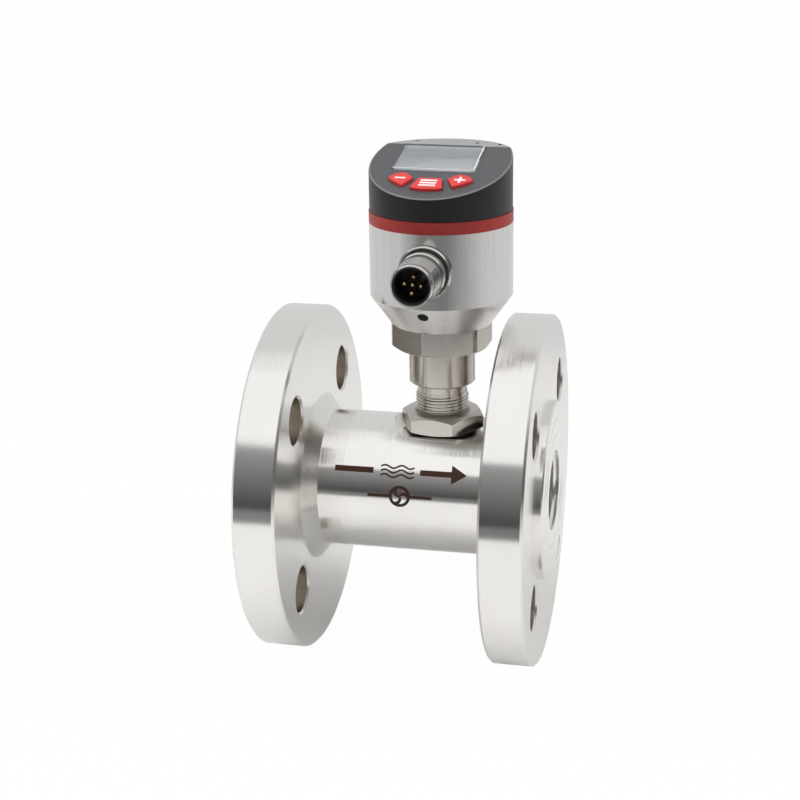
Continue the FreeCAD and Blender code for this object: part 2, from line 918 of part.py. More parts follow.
def board_screws():
    screws = []
    head_top = -display_drop - board_t
    for x, y in screw_places():
        origin = V(x, y, 0)
        shank = rod(screw_d / 2 - slip / 2, head_top, screw_l - slip - display_drop, V(0, 0, 1), origin)
        head = rod(screw_head_d / 2, head_top - screw_head_h, head_top, V(0, 0, 1), origin)
        screws.append(on_face(shank.fuse(head)))
    return Part.makeCompound(screws)


def main():
    os.makedirs("parts", exist_ok=True)
    save("inlet_flange", flange())
    save("outlet_flange", outlet(flange()))
    save("body_tube", body_tube())
    save("inlet_retaining_ring", retaining_ring())
    save("outlet_retaining_ring", outlet(retaining_ring()))
    inlet_side = head_x - rotor_l / 2 - rotor_end_gap
    outlet_side = overall_l - (head_x + rotor_l / 2 + rotor_end_gap)
    save("inlet_straightener", straightener(chamber_start, inlet_side))
    save("outlet_straightener", outlet(straightener(overall_l - chamber_end, outlet_side)))
    save("inlet_bush", bush(inlet_side))
    save("outlet_bush", outlet(bush(outlet_side)))
    save("inlet_thrust_ball", thrust_ball(inlet_side))
    save("outlet_thrust_ball", outlet(thrust_ball(outlet_side)))
    save("rotor", rotor())
    save("rotor_shaft", rotor_shaft())
    save("stem", on_head(stem(), 0))
    save("lock_nut", on_head(lock_nut(), nut_turn))
    save("stem_seal", on_head(stem_seal(), 0))
    save("coil_bobbin", on_head(bobbin(), 0))
    save("pickup_coil", on_head(pickup_coil(), 0))
    save("pole_piece", on_head(pole_piece(), 0))
    for name, shape in (
        ("housing_can", can()),
        ("vent_plug", vent_plug()),
        ("can_ring_nut", ring_nut()),
        ("main_board", main_board()),
        ("colour_band", band()),
        ("connector_boss", boss()),
        ("connector_gasket", connector_gasket()),
        ("connector_shell", connector_shell()),
        ("connector_insert", connector_insert()),
        ("connector_pins", connector_pins()),
    ):
        save(name, on_head(shape, can_turn))
    for name, shape in (
        ("display_cap", cap()),
        ("display_window", window()),
        ("display_panel", display_panel()),
        ("display_board", display_board()),
        ("keypad_mat", keypad()),
        ("board_screws", board_screws()),
        ("key_menu", key(menu_outline())),
        ("key_minus", key(side_outline(-1))),
        ("key_plus", key(side_outline(1))),
    ):
        save(name, on_head(shape, display_turn))


main()
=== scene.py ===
import json
import math

import bpy
from mathutils import Matrix, Vector

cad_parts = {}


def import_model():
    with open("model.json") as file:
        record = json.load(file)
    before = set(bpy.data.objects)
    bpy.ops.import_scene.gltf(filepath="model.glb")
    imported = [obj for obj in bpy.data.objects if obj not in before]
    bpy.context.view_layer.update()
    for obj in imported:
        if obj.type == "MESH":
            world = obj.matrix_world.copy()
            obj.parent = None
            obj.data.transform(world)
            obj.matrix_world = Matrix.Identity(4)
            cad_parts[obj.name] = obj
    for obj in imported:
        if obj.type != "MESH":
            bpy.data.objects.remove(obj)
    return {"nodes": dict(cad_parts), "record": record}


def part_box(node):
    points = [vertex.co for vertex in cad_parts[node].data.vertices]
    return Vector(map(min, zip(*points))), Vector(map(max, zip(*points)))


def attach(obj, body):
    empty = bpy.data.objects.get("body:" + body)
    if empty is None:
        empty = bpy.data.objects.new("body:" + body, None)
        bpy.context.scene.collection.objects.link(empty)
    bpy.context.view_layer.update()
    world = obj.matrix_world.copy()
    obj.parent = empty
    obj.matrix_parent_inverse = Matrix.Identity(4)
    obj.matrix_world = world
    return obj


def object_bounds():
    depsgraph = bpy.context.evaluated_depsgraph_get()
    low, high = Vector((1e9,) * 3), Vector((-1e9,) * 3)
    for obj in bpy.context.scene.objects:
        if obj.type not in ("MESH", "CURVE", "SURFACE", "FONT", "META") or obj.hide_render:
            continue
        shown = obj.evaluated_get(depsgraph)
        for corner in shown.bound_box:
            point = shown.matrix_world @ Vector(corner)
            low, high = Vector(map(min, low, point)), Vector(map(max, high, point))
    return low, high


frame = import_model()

# Looks of a flanged turbine flow meter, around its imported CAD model. Metres; X runs along the pipe,
# the display faces -Y and Z points up. Sizes written as N * MM are millimetres on the object.

MM = 0.001
CAD_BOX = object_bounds()
SLOT_OF = {part["node"]: part["material_slot"] for part in frame["record"]["subparts"]}

# ---- places read from the frame -----------------------------------------------------------------
NUT_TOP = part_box("lock_nut")[1][2]
TUBE_LOW, TUBE_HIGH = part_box("body_tube")
CAN_LOW, CAN_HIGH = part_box("housing_can")
FLOOR_Z = CAD_BOX[0][2]
HEAD_X = (CAN_LOW[0] + CAN_HIGH[0]) / 2
TUBE_R = (TUBE_HIGH[1] - TUBE_LOW[1]) / 2
CONNECTOR = next(m for m in frame["record"]["mounts"] if m["name"] == "plug_inlet")
PLUG_R = CONNECTOR["dims"]["r_mm"] * MM
PLUG_L = CONNECTOR["dims"]["length_mm"] * MM
PLUG_AXIS = Vector(CONNECTOR["axis"])
PLUG_MID = Vector(CONNECTOR["pos_m"])
PLUG_SIDE = PLUG_AXIS.cross(Vector((0, 0, 1))).normalized()
MENU_SLIDE = next(j for j in frame["record"]["behaviour"]["joints"] if j["name"] == "menu_press")
HEAD_TURN = math.atan2(-MENU_SLIDE["axis"][0], MENU_SLIDE["axis"][1])

# ---- sizes of the scene's own pieces ------------------------------------------------------------
THREAD_PITCH = 1.0 * MM
THREAD_SINK = 0.1 * MM
# Share of the thread's colour kept in its roots: painted shade, as the roots lie in shadow.
THREAD_ROOT_SHADE = 0.22
THREAD_BRIGHT = 0.8
THREAD_FADE = 0.5
RIDGE_FOOT = 0.42 * THREAD_PITCH
RIDGE_FLAT = 0.08 * THREAD_PITCH
STEM_R = 7.45 * MM
STEM_THREAD_CREST = 0.42 * MM
STEM_THREAD_TOP = 30.0 * MM
PLUG_THREAD_CREST = 0.16 * MM
PLUG_THREAD_START = 1.2 * MM
PLUG_THREAD_END = 1.0 * MM
PRINT_T = 0.04 * MM
CONE_ROUGHER = 0.17
FACE_RINGS = 0.25
MARK_BAR = (23.4 * MM, 35.0 * MM)
MARK_WAVES = (37.2 * MM, 47.2 * MM)
MARK_ARROW = (49.0 * MM, 58.3 * MM, 62.7 * MM)
MARK_ARC = 10.3 * MM
MARK_HALF_H = 0.85 * MM
ARROW_HALF_H = 2.83 * MM
ARROW_STEPS = 8
ARROW_TAPER = 8.3
WAVE_COUNT = 3
WAVE_SPACING = 1.35 * MM
WAVE_HEIGHT = 0.45 * MM
WAVE_LINE = 0.26 * MM
PICTO_X = 43.2 * MM
PICTO_ARC = 3.0 * MM
PICTO_R = 2.75 * MM
PICTO_REACH = 9.6 * MM
PICTO_LINE = 0.45 * MM
PICTO_BLADES = 3
GLYPH_ARM = 1.55 * MM
GLYPH_LINE = 0.36 * MM
SIDE_GLYPH_UP = 0.2 * MM
MENU_ARM = 2.4 * MM
MENU_LINE = 0.38 * MM
MENU_STEP = 1.35 * MM
MENU_UP = 0.1 * MM
WINDOW_EDGE = 0.17 * MM
FACE_TOLERANCE = 0.01 * MM
HOLE_RING = (29.0 * MM, 47.0 * MM)
HOLE_ROUGHNESS = 0.26
# Darker brown for the walls of the bolt holes: painted shade inside the holes.
HOLE_SHADE_COLOR = (0.62, 0.57, 0.51)
STAIN_SIZE = 14 * MM

# ---- studio -------------------------------------------------------------------------------------
# A plain room of round numbers: a dark wall with a light panel over it in front, a light wall behind
# and a cloth on the floor, dark in front and light at the sides. Angles in degrees, azimuths from
# -Y towards +X about the head's axis. Greys are (height angle, grey) up the walls.
WALL_R = 0.93
WALL_SIDE = 95.0
WALL_GREYS = ((-3.2, 0.05), (35.0, 0.35))
LIGHT_PANEL_GREYS = ((35.0, 1.0), (72.0, 1.0))
BACK_GREYS = ((-3.2, 0.7), (70.0, 0.7))
CLOTH_EDGE = (0.30, 0.33)
CLOTH_GREYS = ((-180, 0.7), (-60, 0.6), (-20, 0.2), (20, 0.2), (80, 0.6), (180, 0.7))
CLOTH_LIFT = 1.0 * MM
RING_STEPS = 96
FLOOR_HALF = 6.0
FLOOR_SEEN_WHITE = 0.98
FLOOR_REFLECTED_WHITE = 0.2
WORLD_LIGHT = 0.35

# ---- camera -------------------------------------------------------------------------------------
CAMERA_AZIMUTH = math.radians(12.81)
CAMERA_ELEVATION = math.radians(18.5)
CAMERA_ROLL = math.radians(-0.93)
CAMERA_DISTANCE = 484.3 * MM
CAMERA_TARGET = Vector((39.21, 0.0, 25.76)) * MM
CAMERA_LENS = 72.6
CAMERA_SENSOR = 36.0


# ---- materials ----------------------------------------------------------------------------------
def material(name, color, roughness, metallic=0.0, **sockets):
    """A new material with one Principled shader; returns it with its node tree and shader."""
    made = bpy.data.materials.new(name)
    made.use_nodes = True
    tree = made.node_tree
    shader = tree.nodes["Principled BSDF"]
    shader.inputs["Base Color"].default_value = (*color, 1.0)
    shader.inputs["Roughness"].default_value = roughness
    shader.inputs["Metallic"].default_value = metallic
    for socket, value in sockets.items():
        shader.inputs[socket.replace("_", " ")].default_value = value
    return made, tree, shader


def compute(tree, operation, *values):
    """A Math node fed with sockets or numbers; returns its output."""
    node = tree.nodes.new("ShaderNodeMath")
    node.operation = operation
    for socket, value in zip(node.inputs, values):
        if isinstance(value, (int, float)):
            socket.default_value = value
        else:
            tree.links.new(value, socket)
    return node.outputs[0]


def coordinates(tree):
    """The object's own X, Y and Z in metres, which move with the piece."""
    where = tree.nodes.new("ShaderNodeTexCoord")
    split = tree.nodes.new("ShaderNodeSeparateXYZ")
    tree.links.new(where.outputs["Object"], split.inputs[0])
    return split.outputs


def about_pipe(tree):
    """(distance along the pipe, radius, angle) of a point."""
    x, y, z = coordinates(tree)
    radius = compute(tree, "SQRT", compute(tree, "ADD", compute(tree, "MULTIPLY", y, y),
                                           compute(tree, "MULTIPLY", z, z)))
    return x, radius, compute(tree, "ARCTAN2", z, y)


def about_head(tree):
    """(height, radius, angle) of a point about the head's upright axis."""
    x, y, z = coordinates(tree)
    x = compute(tree, "SUBTRACT", x, HEAD_X)
    radius = compute(tree, "SQRT", compute(tree, "ADD", compute(tree, "MULTIPLY", x, x),
                                           compute(tree, "MULTIPLY", y, y)))
    return z, radius, compute(tree, "ARCTAN2", y, x)


def about_line(tree, point, axis):
    """Distance of a point from a line."""
    where = tree.nodes.new("ShaderNodeTexCoord")
    shift = tree.nodes.new("ShaderNodeVectorMath")
    shift.operation = "SUBTRACT"
    shift.inputs[1].default_value = point
    across = tree.nodes.new("ShaderNodeVectorMath")
    across.operation = "CROSS_PRODUCT"
    across.inputs[1].default_value = axis
    length = tree.nodes.new("ShaderNodeVectorMath")
    length.operation = "LENGTH"
    tree.links.new(where.outputs["Object"], shift.inputs[0])
    tree.links.new(shift.outputs[0], across.inputs[0])
    tree.links.new(across.outputs[0], length.inputs[0])
    return length.outputs["Value"]


def noise(tree, vector, detail=2.0, rough=0.5):
    """Noise from three numbers or sockets that are already in the size of one patch; 0 to 1."""
    combine = tree.nodes.new("ShaderNodeCombineXYZ")
    for socket, value in zip(combine.inputs, vector):
        if isinstance(value, (int, float)):
            socket.default_value = value
        else:
            tree.links.new(value, socket)
    node = tree.nodes.new("ShaderNodeTexNoise")
    node.inputs["Scale"].default_value = 1.0
    node.inputs["Detail"].default_value = detail
    node.inputs["Roughness"].default_value = rough
    tree.links.new(combine.outputs[0], node.inputs["Vector"])
    return node.outputs["Fac"]


def spread(tree, value, low, high):
    """Noise mapped onto a range; 0.3 to 0.7 fills it."""
    node = tree.nodes.new("ShaderNodeMapRange")
    node.inputs["From Min"].default_value = 0.3
    node.inputs["From Max"].default_value = 0.7
    node.inputs["To Min"].default_value = low
    node.inputs["To Max"].default_value = high
    tree.links.new(value, node.inputs["Value"])
    return node.outputs[0]


def ramp_between(tree, value, low, high):
    """0 below low, 1 above high."""
    node = tree.nodes.new("ShaderNodeMapRange")
    node.inputs["From Min"].default_value = low
    node.inputs["From Max"].default_value = high
    tree.links.new(value, node.inputs["Value"])
    return node.outputs[0]


def tint(tree, value, low, high):
    """Two colours, each a triple or a socket, blended by a value from 0 to 1."""
    node = tree.nodes.new("ShaderNodeMix")
    node.data_type = "RGBA"
    inputs = [socket for socket in node.inputs if socket.type == "RGBA"]
    for socket, color in zip(inputs, (low, high)):
        if isinstance(color, tuple):
            socket.default_value = (*color, 1.0)
        else:
            tree.links.new(color, socket)
    tree.links.new(value, node.inputs["Factor"])
    return next(socket for socket in node.outputs if socket.type == "RGBA")


def blend(tree, one, other, one_share, other_share):
    """Two sockets added up, each times its share."""
    return compute(tree, "ADD", compute(tree, "MULTIPLY", one, one_share),
                   compute(tree, "MULTIPLY", other, other_share))


def bump(tree, shader, height, depth, strength=1.0):
    """Fine relief of that depth in metres; strength is a number or a socket."""
    node = tree.nodes.new("ShaderNodeBump")
    if isinstance(strength, float):
        node.inputs["Strength"].default_value = strength
    else:
        tree.links.new(strength, node.inputs["Strength"])
    node.inputs["Distance"].default_value = depth
    tree.links.new(height, node.inputs["Height"])
    tree.links.new(node.outputs["Normal"], shader.inputs["Normal"])


def facing(tree, axis):
    """0 where the surface runs along an axis (0 to 2 for X to Z), 1 where it is square to it."""
    where = tree.nodes.new("ShaderNodeTexCoord")
    split = tree.nodes.new("ShaderNodeSeparateXYZ")
    tree.links.new(where.outputs["Normal"], split.inputs[0])
    return compute(tree, "ABSOLUTE", split.outputs[axis])


def turned_metal(name, color, dark, rim, face, frame_of, axis,
                 mark=0.15 * MM, depth=0.004 * MM, drilled=None):
    """Metal off a lathe: fine rings about an axis, with faint handling stains.
    rim and face are the roughness of walls along the axis and of faces square to it;
    drilled is (inner radius, outer radius) of the ring that holds holes along the axis."""
    made, tree, shader = material(name, color, rim, 1.0)
    along, radius, angle = frame_of(tree)
    fine = noise(tree, (compute(tree, "DIVIDE", along, mark), compute(tree, "DIVIDE", radius, mark),
                        compute(tree, "MULTIPLY", angle, 0.4)), 3.0)
    stain = noise(tree, (compute(tree, "DIVIDE", along, STAIN_SIZE),
                         compute(tree, "DIVIDE", radius, STAIN_SIZE),
                         compute(tree, "MULTIPLY", angle, 1.5)), 3.0, 0.6)
    both = blend(tree, fine, stain, 0.6, 0.4)
    finish = tree.nodes.new("ShaderNodeMapRange")
    finish.inputs["From Min"].default_value = 0.3
    finish.inputs["From Max"].default_value = 0.8
    finish.inputs["To Min"].default_value = rim
    finish.inputs["To Max"].default_value = face
    tree.links.new(facing(tree, axis), finish.inputs["Value"])
    rough = compute(tree, "MULTIPLY", finish.outputs[0], spread(tree, both, 0.85, 1.2))
    shade = tint(tree, spread(tree, both, 0.0, 1.0), dark, color)
    if drilled:
        inner, outer = drilled
        # Hole walls in the drilled ring are painted a darker brown as shade; their roughness is raised too.
        inside = compute(tree, "MULTIPLY", compute(tree, "GREATER_THAN", radius, inner),
                         compute(tree, "LESS_THAN", radius, outer))
        inside = compute(tree, "MULTIPLY", inside, compute(tree, "SUBTRACT", 1.0, facing(tree, axis)))
        rough = compute(tree, "MAXIMUM", rough, compute(tree, "MULTIPLY", inside, HOLE_ROUGHNESS))
        shade = tint(tree, inside, shade, HOLE_SHADE_COLOR)
    tree.links.new(rough, shader.inputs["Roughness"])
    tree.links.new(shade, shader.inputs["Base Color"])
    flat = compute(tree, "MULTIPLY", facing(tree, axis), FACE_RINGS - 1)
    bump(tree, shader, fine, depth, compute(tree, "ADD", 1.0, flat))
    return made


def brushed_metal(name, color, dark, roughness):
    """Drawn sheet brushed along the head's axis: streaks narrow round it and long up it."""
    made, tree, shader = material(name, color, roughness[0], 1.0)
    along, radius, angle = about_head(tree)
    streak = noise(tree, (compute(tree, "MULTIPLY", angle, 55.0), compute(tree, "DIVIDE", along, 30 * MM),
                          compute(tree, "DIVIDE", radius, 3 * MM)), 4.0, 0.7)
    broad = noise(tree, (compute(tree, "MULTIPLY", angle, 5.0), compute(tree, "DIVIDE", along, 40 * MM), 3.0))
    both = blend(tree, streak, broad, 0.65, 0.35)
    sloped = ramp_between(tree, facing(tree, 2), 0.1, 0.5)
    rough = blend(tree, spread(tree, both, *roughness), sloped, 1.0, CONE_ROUGHER)
    tree.links.new(rough, shader.inputs["Roughness"])
    tree.links.new(tint(tree, spread(tree, both, 0.0, 1.0), dark, color), shader.inputs["Base Color"])
    bump(tree, shader, streak, 0.004 * MM, 0.6)
    return made


def grained(name, color, roughness, grain=0.25 * MM, depth=0.01 * MM,
            metallic=0.0, worn=0.86, **sockets):
    """Even surface with a fine grain in its relief and gloss.
    worn is its darkest share of the colour."""
    made, tree, shader = material(name, color, roughness, metallic, **sockets)
    x, y, z = coordinates(tree)
    fine = noise(tree, [compute(tree, "DIVIDE", c, grain) for c in (x, y, z)], 2.0)
    cloud = noise(tree, [compute(tree, "DIVIDE", c, 30 * grain) for c in (x, y, z)], 2.0)
    gloss = spread(tree, cloud, 0.9 * roughness, min(1.0, 1.12 * roughness))
    tree.links.new(gloss, shader.inputs["Roughness"])
    shade = tuple(worn * c for c in color)
    tree.links.new(tint(tree, spread(tree, cloud, 0.0, 1.0), shade, color), shader.inputs["Base Color"])
    bump(tree, shader, fine, depth)
    return made


def coil_wire(name, color):
    """Enamelled wire laid in close turns."""
    made, tree, shader = material(name, color, 0.3, 1.0)
    along = coordinates(tree)[2]
    turns = compute(tree, "SINE", compute(tree, "MULTIPLY", along, 2 * math.pi / (0.25 * MM)))
    bump(tree, shader, turns, 0.04 * MM)
    return made


def thread_metal(name, color, roughness, point, axis, root, crest):
    """Cut thread about a line: bright crests, and painted shade darkening the roots."""
    made, tree, shader = material(name, color, roughness, 1.0)
    along, _, angle = about_head(tree)
    haze = noise(tree, (compute(tree, "MULTIPLY", angle, 6.0),
                        compute(tree, "DIVIDE", along, 2 * MM), 0.0), 3.0)
    tree.links.new(spread(tree, haze, 0.8 * roughness, 1.3 * roughness), shader.inputs["Roughness"])
    metal = tint(tree, spread(tree, haze, 0.0, 1.0), tuple(0.8 * c for c in color), color)
    # Roots are painted darker than the crests as shade; the crests keep the metal's colour.
    raised = ramp_between(tree, about_line(tree, point, axis), root, crest)
    root_shade = tuple(THREAD_ROOT_SHADE * c for c in color)
    tree.links.new(tint(tree, raised, root_shade, metal), shader.inputs["Base Color"])
    return made


def clear_lens(name):
    made, tree, shader = material(name, (0.93, 0.95, 0.96), 0.06, 0.0, Transmission_Weight=1.0, IOR=1.49)
    x, y, z = coordinates(tree)
    haze = noise(tree, [compute(tree, "DIVIDE", c, 4 * MM) for c in (x, y, z)], 3.0)
    tree.links.new(spread(tree, haze, 0.04, 0.09), shader.inputs["Roughness"])
    return made


def cap_toned_by_facing(name):
    """Satin plastic whose colour follows the way each surface faces: lighter on its top surfaces than on its
    wall, with a painted highlight along the rounded rim.
    """
    made, tree, shader = material(name, (0.02, 0.02, 0.021), 0.5)
    ramp = tree.nodes.new("ShaderNodeValToRGB")
    stops = ramp.color_ramp.elements
    stops[0].position, stops[0].color = 0.35, (0.008, 0.008, 0.010, 1.0)
    stops[1].position, stops[1].color = 0.985, (0.26, 0.26, 0.265, 1.0)
    # The stops at 0.45 and 0.84 paint a highlight on the rounded rim between the sloping face and the wall.
    for place, color in ((0.45, (0.16, 0.16, 0.165, 1.0)), (0.84, (0.17, 0.17, 0.175, 1.0)),
                         (0.90, (0.060, 0.061, 0.066, 1.0)), (0.96, (0.070, 0.071, 0.077, 1.0))):
        stop = stops.new(place)
        stop.color = color
    tree.links.new(facing(tree, 2), ramp.inputs["Fac"])
    tree.links.new(ramp.outputs["Color"], shader.inputs["Base Color"])
    x, y, z = coordinates(tree)
    fine = noise(tree, [compute(tree, "DIVIDE", c, 0.2 * MM) for c in (x, y, z)], 2.0)
    tree.links.new(spread(tree, fine, 0.33, 0.45), shader.inputs["Roughness"])
    bump(tree, shader, fine, 0.006 * MM)
    return made


MATERIALS = {
    "turned_steel": turned_metal("turned_steel", (0.92, 0.91, 0.89), (0.84, 0.825, 0.80),
                                 0.12, 0.22, about_pipe, 0, depth=0.03 * MM, drilled=HOLE_RING),
    "machined_steel": turned_metal("machined_steel", (0.66, 0.63, 0.59), (0.58, 0.545, 0.505),
                                   0.17, 0.42, about_head, 2),
    "spring_steel": grained("spring_steel", (0.33, 0.33, 0.34), 0.35, metallic=1.0),
    "hard_metal": grained("hard_metal", (0.42, 0.42, 0.43), 0.2, metallic=1.0),
    "brushed_can": brushed_metal("brushed_can", (0.92, 0.91, 0.895), (0.78, 0.765, 0.745), (0.09, 0.16)),
    "connector_metal": grained("connector_metal", (0.66, 0.65, 0.63), 0.2, 0.4 * MM, 0.003 * MM, 1.0),
    "black_rubber": grained("black_rubber", (0.014, 0.014, 0.014), 0.6),
    "grey_rubber": grained("grey_rubber", (0.09, 0.09, 0.095), 0.65),
    "black_insert": grained("black_insert", (0.008, 0.008, 0.009), 0.45),
    "gold_pins": grained("gold_pins", (0.83, 0.60, 0.26), 0.2, metallic=1.0),
    "red_band": grained("red_band", (0.29, 0.017, 0.013), 0.42),
    "dark_plastic": cap_toned_by_facing("dark_plastic"),
    "clear_window": clear_lens("clear_window"),
    "lcd_panel": grained("lcd_panel", (0.62, 0.645, 0.665), 0.35, 0.1 * MM, 0.0005 * MM, worn=0.97),
    "circuit_board": grained("circuit_board", (0.012, 0.10, 0.035), 0.35),
    "red_key": grained("red_key", (0.68, 0.036, 0.034), 0.36, 0.15 * MM, 0.004 * MM),
    "coil_plastic": grained("coil_plastic", (0.62, 0.59, 0.50), 0.5),
    "copper_wire": coil_wire("copper_wire", (0.60, 0.22, 0.08)),
    "soft_iron": grained("soft_iron", (0.26, 0.25, 0.25), 0.45, metallic=1.0),
}
MARK_INK = grained("mark_ink", (0.060, 0.022, 0.010), 0.5, 0.12 * MM, 0.004 * MM, Specular_IOR_Level=0.3)
THREAD = thread_metal("thread_steel", (0.74, 0.71, 0.67), 0.14, (HEAD_X, 0, 0), (0, 0, 1),
                      STEM_R + 0.05 * MM, STEM_R + THREAD_BRIGHT * STEM_THREAD_CREST)
PLUG_THREAD = thread_metal("thread_nickel", (0.74, 0.73, 0.71), 0.14, PLUG_MID, PLUG_AXIS,
                           PLUG_R, PLUG_R + THREAD_BRIGHT * PLUG_THREAD_CREST)
# Pale grey strip on the display window's edge: a painted highlight on its bevel.
EDGE_HIGHLIGHT = grained("painted_edge_highlight", (0.74, 0.75, 0.76), 0.3)
WHITE_INK = grained("white_ink", (0.86, 0.84, 0.83), 0.5, 0.12 * MM, 0.002 * MM)

for node, obj in frame["nodes"].items():
    obj.data.materials.clear()
    obj.data.materials.append(MATERIALS[SLOT_OF[node]])


# ---- pieces -------------------------------------------------------------------------------------
def piece(name, verts, faces, look, body, smooth=False):
    """A mesh piece that rides on a CAD body and takes its finish from a material slot."""
    mesh = bpy.data.meshes.new(name)
    mesh.from_pydata(verts, [], faces)
    mesh.validate()
    mesh.materials.append(look)
    if smooth:
        mesh.shade_smooth()
    obj = bpy.data.objects.new(name, mesh)
    bpy.context.collection.objects.link(obj)
    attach(obj, body)
    return obj


def strips(sections, closed):
    """Faces that join rows of equally many points; each row may close on itself."""
    faces = []
    count = len(sections[0])
    edges = count if closed else count - 1
    for row in range(len(sections) - 1):
        for k in range(edges):
            nxt = (k + 1) % count
            faces.append((row * count + k, row * count + nxt,
                          (row + 1) * count + nxt, (row + 1) * count + k))
    if closed:
        last = (len(sections) - 1) * count
        faces.append(tuple(reversed(range(count))))
        faces.append(tuple(last + k for k in range(count)))
    return faces


def join(parts):
    """One list of points and faces from several (points, faces) pairs."""
    verts = []
    faces = []
    for points, own in parts:
        shift = len(verts)
        verts.extend(points)
        faces.extend(tuple(k + shift for k in face) for face in own)
    return verts, faces


def ribbon(path, half_widths, place, lanes=6):
    """A thin raised print along a flat path of (u, v) points; place sets (u, v, height) in the frame."""
    rows = []
    for k, (u, v) in enumerate(path):
        before = path[max(k - 1, 0)]
        after = path[min(k + 1, len(path) - 1)]
        du, dv = after[0] - before[0], after[1] - before[1]
        length = math.hypot(du, dv)
        across = (-dv / length, du / length)
        top = []
        base = []
        for lane in range(lanes + 1):
            offset = half_widths[k] * (2 * lane / lanes - 1)
            point = (u + across[0] * offset, v + across[1] * offset)
            top.append(place(point[0], point[1], PRINT_T))
            base.append(place(point[0], point[1], -PRINT_T))
        rows.append(top + base[::-1])
    return [point for row in rows for point in row], strips(rows, True)


def line(start, end, steps=10):
    return [(start[0] + (end[0] - start[0]) * k / steps, start[1] + (end[1] - start[1]) * k / steps)
            for k in range(steps + 1)]


def arc(centre, radius, start, end, steps=32):
    """Points on a circle between two angles in degrees."""
    points = []
    for k in range(steps + 1):
        angle = math.radians(start + (end - start) * k / steps)
        points.append((centre[0] + radius * math.cos(angle), centre[1] + radius * math.sin(angle)))
    return points


def even(path, half_width):
    return path, [half_width] * len(path)


def on_tube(x, rise, height):
    """A point on the pipe's front, by its place along the pipe and its arc above the front line."""
    angle = rise / TUBE_R
    radius = TUBE_R + height
    return Vector((x, -radius * math.cos(angle), radius * math.sin(angle)))


def wave(x0, x1, v, steps=36):
    """Two gentle swells of a flow sign."""
    points = []
    for k in range(steps + 1):
        part = k / steps
        points.append((x0 + (x1 - x0) * part, v + WAVE_HEIGHT * math.sin(4 * math.pi * part)))
    return points


def flow_marks():
    shaft_start, shaft_end, tip = MARK_ARROW
    prints = [even(line((MARK_BAR[0], MARK_ARC), (MARK_BAR[1], MARK_ARC)), MARK_HALF_H),
              even(line((shaft_start, MARK_ARC), (shaft_end, MARK_ARC)), MARK_HALF_H)]
    head = line((shaft_end, MARK_ARC), (tip, MARK_ARC), ARROW_STEPS)
    prints.append((head, [ARROW_HALF_H * (1 - k / ARROW_TAPER) for k in range(len(head))]))
    for k in range(WAVE_COUNT):
        v = MARK_ARC + (k - (WAVE_COUNT - 1) / 2) * WAVE_SPACING
        prints.append(even(wave(MARK_WAVES[0], MARK_WAVES[1], v), WAVE_LINE))
    verts, faces = join([ribbon(path, widths, on_tube) for path, widths in prints])
    piece("flow_direction_mark", verts, faces, MARK_INK, "meter")


def turbine_sign():
    """Generic sign of a wheel in a pipe."""
    centre = (PICTO_X, PICTO_ARC)
    prints = [even(arc(centre, PICTO_R, 0, 360, 48), PICTO_LINE)]
    for side in (-1, 1):
        start = (PICTO_X + side * (PICTO_R + PICTO_LINE), PICTO_ARC)
        end = (PICTO_X + side * PICTO_REACH, PICTO_ARC)
        prints.append(even(line(start, end), PICTO_LINE))
    for k in range(PICTO_BLADES):
        turn = 90 + 360 * k / PICTO_BLADES
        blade = arc((PICTO_X + PICTO_R / 2 * math.cos(math.radians(turn)),
                     PICTO_ARC + PICTO_R / 2 * math.sin(math.radians(turn))),
                    PICTO_R / 2, turn + 180, turn + 20, 14)
        prints.append((blade, [PICTO_LINE * (0.55 + 0.5 * math.sin(math.pi * j / 14)) for j in range(15)]))
    verts, faces = join([ribbon(path, widths, on_tube) for path, widths in prints])
    piece("turbine_sign", verts, faces, MARK_INK, "meter")


flow_marks()
turbine_sign()


def helix(root, crest, low, high, place, steps=40):
    """Thread ridge with a flat crest, from a root circle to a crest circle."""
    rows = []
    turns = (high - low) / THREAD_PITCH
    count = int(turns * steps)
    for k in range(count + 1):
        angle = 2 * math.pi * k / steps
        along = low + THREAD_PITCH * k / steps
        fade = min(1.0, k / steps / THREAD_FADE, (count - k) / steps / THREAD_FADE)
        reach = root + (crest - root) * fade
        rows.append([place(angle, root, along - RIDGE_FOOT), place(angle, reach, along - RIDGE_FLAT),
                     place(angle, reach, along + RIDGE_FLAT), place(angle, root, along + RIDGE_FOOT)])
    return [point for row in rows for point in row], strips(rows, True)


def round_head(angle, radius, along):
    return Vector((HEAD_X + radius * math.cos(angle), radius * math.sin(angle), along))


def stem_thread():
    low = NUT_TOP + 0.5 * THREAD_PITCH
    high = STEM_THREAD_TOP - 0.5 * THREAD_PITCH
    verts, faces = helix(STEM_R - THREAD_SINK, STEM_R + STEM_THREAD_CREST, low, high, round_head)
    piece("stem_thread", verts, faces, THREAD, "meter")


stem_thread()


def round_plug(angle, radius, along):
    """A point about the plug inlet's axis; along counts from the middle of its thread, outwards."""
    up = Vector((0, 0, 1))
    around = PLUG_SIDE * (radius * math.cos(angle))
    return PLUG_MID + PLUG_AXIS * along + around + up * (radius * math.sin(angle))


def plug_thread():
    verts, faces = helix(PLUG_R - THREAD_SINK, PLUG_R + PLUG_THREAD_CREST, PLUG_THREAD_START - PLUG_L / 2,
                         PLUG_L / 2 - PLUG_THREAD_END, round_plug)
    piece("plug_thread", verts, faces, PLUG_THREAD, "meter")


plug_thread()


